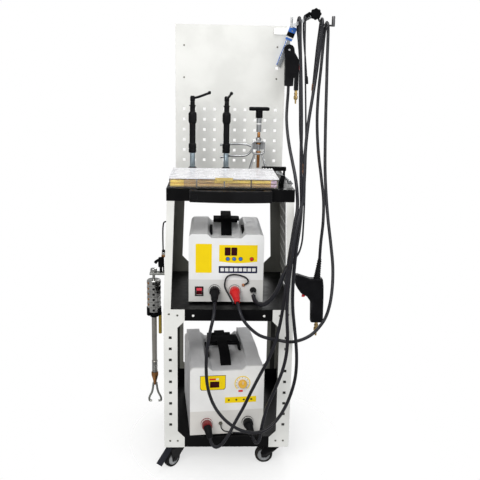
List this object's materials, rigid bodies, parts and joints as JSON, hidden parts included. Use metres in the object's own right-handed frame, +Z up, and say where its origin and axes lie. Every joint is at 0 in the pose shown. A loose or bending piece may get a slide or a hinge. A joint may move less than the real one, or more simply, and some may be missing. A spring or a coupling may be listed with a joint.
{
  "type": "dent pulling spot welder station",
  "caption": "Rolling workstation for pulling dents: open three-tier trolley with perforated board, spot welding machines, heavy cables, guns and pulling tools.",
  "frame": {"origin": "on the floor under the middle of the bounding box of everything but the cables and their plugs", "axes": "+X to the right seen from the front, +Y from the front to the back, +Z up"},
  "size_m": [0.6684, 0.5703, 1.5751],
  "materials": {
    "white_paint": "light grey-white powder coat",
    "black_paint": "semi-gloss black paint",
    "black_plastic": "moulded black, light sheen",
    "wheel_tyre": "black tread with a light grey hub ring",
    "pedal_plastic": "blue-grey",
    "case_plastic": "off-white front and back",
    "cover_paint": "light grey fine texture",
    "blue_plastic": "glossy",
    "red_plastic": "glossy",
    "black_rubber": "matt cable sheath",
    "orange_plastic": "amber",
    "bare_steel": "satin",
    "blue_paint": "bright blue",
    "chrome_plate": "polished",
    "turned_aluminium": "turned",
    "clear_plastic": "clear"
  },
  "bodies": {
    "trolley": {"post_front_left": "white_paint", "post_front_right": "white_paint", "post_rear_left": "white_paint", "post_rear_right": "white_paint", "side_panel_left": "white_paint", "side_panel_right": "white_paint", "bottom_tray": "black_paint", "middle_tray": "black_paint", "top_tray": "black_paint", "push_handle": "black_plastic", "tool_board": "white_paint", "upper_welder_cover": "cover_paint", "upper_welder_handle": "black_plastic", "upper_welder_case": "case_plastic", "upper_welder_plug_black": "black_rubber", "upper_welder_plug_red": "red_plastic", "lower_welder_cover": "cover_paint", "lower_welder_handle": "black_plastic", "lower_welder_case": "case_plastic", "lower_welder_plug_left": "black_rubber", "lower_welder_plug_right": "black_rubber", "hanger_arm": "bare_steel", "hanger_rod": "bare_steel", "lower_gun_body": "black_plastic", "upper_gun_body": "black_plastic", "blue_lever_tool": "blue_paint", "lever_puller_body_left": "black_plastic", "lever_puller_body_right": "black_plastic", "squeeze_puller_frame": "chrome_plate", "slide_hammer": "bare_steel", "tool_hook_left": "bare_steel", "organizer_box": "clear_plastic", "gun_cable_low": "black_rubber", "gun_cable_up": "black_rubber", "ground_cable_up": "black_rubber", "ground_cable_low": "black_rubber", "control_cable": "black_rubber"},
    "caster_front_left": {"caster_fork_front_left": "black_paint"},
    "wheel_front_left": {"caster_wheel_front_left": "wheel_tyre"},
    "caster_front_right": {"caster_fork_front_right": "black_paint"},
    "wheel_front_right": {"caster_wheel_front_right": "wheel_tyre"},
    "caster_rear_left": {"caster_fork_rear_left": "black_paint"},
    "wheel_rear_left": {"caster_wheel_rear_left": "wheel_tyre"},
    "caster_rear_right": {"caster_fork_rear_right": "black_paint"},
    "wheel_rear_right": {"caster_wheel_rear_right": "wheel_tyre"},
    "brake_pedal": {"brake_pedal_front_left": "pedal_plastic"},
    "upper_blue_button_left": {"upper_welder_blue_button_left": "blue_plastic"},
    "upper_blue_button_middle": {"upper_welder_blue_button_middle": "blue_plastic"},
    "upper_blue_button_right": {"upper_welder_blue_button_right": "blue_plastic"},
    "upper_red_button": {"upper_welder_red_button": "red_plastic"},
    "rocker": {"upper_welder_rocker": "red_plastic"},
    "knob": {"lower_welder_knob": "orange_plastic"},
    "lower_trigger": {"lower_gun_trigger": "red_plastic"},
    "upper_trigger": {"upper_gun_trigger": "red_plastic"},
    "left_lever": {"lever_puller_lever_left": "black_plastic"},
    "right_lever": {"lever_puller_lever_right": "black_plastic"},
    "t_handle": {"squeeze_puller_t_handle": "black_plastic"},
    "hanger_knob": {"hanger_knob": "black_plastic"},
    "lid": {"organizer_lid": "clear_plastic"},
    "slide_weight": {"slide_weight": "turned_aluminium"}
  },
  "joints": [
    {"name": "caster_swivel_front_left", "type": "hinge", "parent": "trolley", "child": "caster_front_left", "pos_m": [-0.20485, -0.1833, 0.078], "axis": [0, 0, 1], "continuous": true},
    {"name": "wheel_spin_front_left", "type": "hinge", "parent": "caster_front_left", "child": "wheel_front_left", "pos_m": [-0.22889, -0.20734, 0.0315], "axis": [0.7071, -0.7071, 0], "continuous": true},
    {"name": "caster_swivel_front_right", "type": "hinge", "parent": "trolley", "child": "caster_front_right", "pos_m": [0.12915, -0.1833, 0.078], "axis": [0, 0, 1], "continuous": true},
    {"name": "wheel_spin_front_right", "type": "hinge", "parent": "caster_front_right", "child": "wheel_front_right", "pos_m": [0.09515, -0.1833, 0.0315], "axis": [0, -1, 0], "continuous": true},
    {"name": "caster_swivel_rear_left", "type": "hinge", "parent": "trolley", "child": "caster_rear_left", "pos_m": [-0.20485, 0.1947, 0.078], "axis": [0, 0, 1], "continuous": true},
    {"name": "wheel_spin_rear_left", "type": "hinge", "parent": "caster_rear_left", "child": "wheel_rear_left", "pos_m": [-0.20485, 0.2287, 0.0315], "axis": [-1, 0, 0], "continuous": true},
    {"name": "caster_swivel_rear_right", "type": "hinge", "parent": "trolley", "child": "caster_rear_right", "pos_m": [0.12915, 0.1947, 0.078], "axis": [0, 0, 1], "continuous": true},
    {"name": "wheel_spin_rear_right", "type": "hinge", "parent": "caster_rear_right", "child": "wheel_rear_right", "pos_m": [0.1611, 0.20633, 0.0315], "axis": [-0.342, 0.9397, 0], "continuous": true},
    {"name": "brake_pedal_tilt", "type": "hinge", "parent": "caster_front_left", "child": "brake_pedal", "pos_m": [-0.23624, -0.21469, 0.0703], "axis": [0.7071, -0.7071, 0], "range_deg": [-25, 0]},
    {"name": "upper_blue_button_left_press", "type": "slide", "parent": "trolley", "child": "upper_blue_button_left", "axis": [0, 1, 0], "range_m": [0, 0.0022], "stiffness_N_per_m": 150},
    {"name": "upper_blue_button_middle_press", "type": "slide", "parent": "trolley", "child": "upper_blue_button_middle", "axis": [0, 1, 0], "range_m": [0, 0.0022], "stiffness_N_per_m": 150},
    {"name": "upper_blue_button_right_press", "type": "slide", "parent": "trolley", "child": "upper_blue_button_right", "axis": [0, 1, 0], "range_m": [0, 0.0022], "stiffness_N_per_m": 150},
    {"name": "upper_red_button_press", "type": "slide", "parent": "trolley", "child": "upper_red_button", "axis": [0, 1, 0], "range_m": [0, 0.0022], "stiffness_N_per_m": 150},
    {"name": "rocker_tilt", "type": "hinge", "parent": "trolley", "child": "rocker", "pos_m": [-0.13755, -0.1551, 0.628], "axis": [1, 0, 0], "range_deg": [-14, 0]},
    {"name": "power_knob_turn", "type": "hinge", "parent": "trolley", "child": "knob", "pos_m": [0.01339, -0.19863, 0.31], "axis": [0.0993, -0.9951, 0], "range_deg": [-135, 135]},
    {"name": "lower_trigger_pull", "type": "hinge", "parent": "trolley", "child": "lower_trigger", "pos_m": [0.23815, 0.00671, 0.577], "axis": [0, 1, 0], "range_deg": [-9, 0], "stiffness_Nm_per_rad": 0.4},
    {"name": "upper_trigger_pull", "type": "hinge", "parent": "trolley", "child": "upper_trigger", "pos_m": [0.20715, 0.1947, 1.386], "axis": [0, 1, 0], "range_deg": [0, 9], "stiffness_Nm_per_rad": 0.4},
    {"name": "lever_turn_left", "type": "hinge", "parent": "trolley", "child": "left_lever", "pos_m": [-0.16985, 0.12071, 1.246], "axis": [0, 0, 1], "range_deg": [-60, 60]},
    {"name": "lever_turn_right", "type": "hinge", "parent": "trolley", "child": "right_lever", "pos_m": [-0.04785, 0.12071, 1.246], "axis": [0, 0, 1], "range_deg": [-60, 60]},
    {"name": "t_handle_turn", "type": "hinge", "parent": "trolley", "child": "t_handle", "pos_m": [0.06915, 0.12071, 1.1233], "axis": [0, 0, 1], "continuous": true},
    {"name": "hanger_knob_turn", "type": "hinge", "parent": "trolley", "child": "hanger_knob", "pos_m": [0.26215, 0.1657, 1.555], "axis": [0, -1, 0], "continuous": true},
    {"name": "organizer_lid_open", "type": "hinge", "parent": "trolley", "child": "lid", "pos_m": [-0.05935, 0.0187, 1.0176], "axis": [-1, 0, 0], "range_deg": [0, 95]},
    {"name": "slide_weight_up", "type": "slide", "parent": "trolley", "child": "slide_weight", "axis": [0, 0, 1], "range_m": [0, 0.018]}
  ]
}
